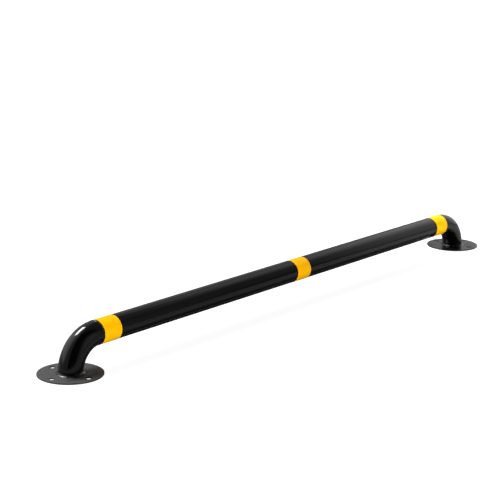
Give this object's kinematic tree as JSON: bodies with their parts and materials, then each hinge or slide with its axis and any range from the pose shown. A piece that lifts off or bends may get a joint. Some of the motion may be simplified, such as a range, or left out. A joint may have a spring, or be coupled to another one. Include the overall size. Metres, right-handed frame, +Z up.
{
  "type": "tubular parking barrier",
  "caption": "Low bar of black round steel tube with yellow warning bands, turned down at both ends by welded bends on round base plates with anchor holes.",
  "frame": {"origin": "on the floor, under the middle of the bar, midway between the two base plates", "axes": "+Z up; +X along the bar, from the left base plate to the right one; +Y across the bar, away from the side that the picture was taken from"},
  "size_m": [2.298, 0.198, 0.1408],
  "materials": {
    "black_powder_coat": "gloss",
    "yellow_band": "gloss"
  },
  "bodies": {
    "root": {"crossbar_tube": "black_powder_coat", "left_elbow": "black_powder_coat", "right_elbow": "black_powder_coat", "left_base_plate": "black_powder_coat", "right_base_plate": "black_powder_coat", "left_foot_weld": "black_powder_coat", "right_foot_weld": "black_powder_coat", "left_seam_weld": "black_powder_coat", "right_seam_weld": "black_powder_coat", "left_band": "yellow_band", "middle_band": "yellow_band", "right_band": "yellow_band"}
  },
  "joints": []
}
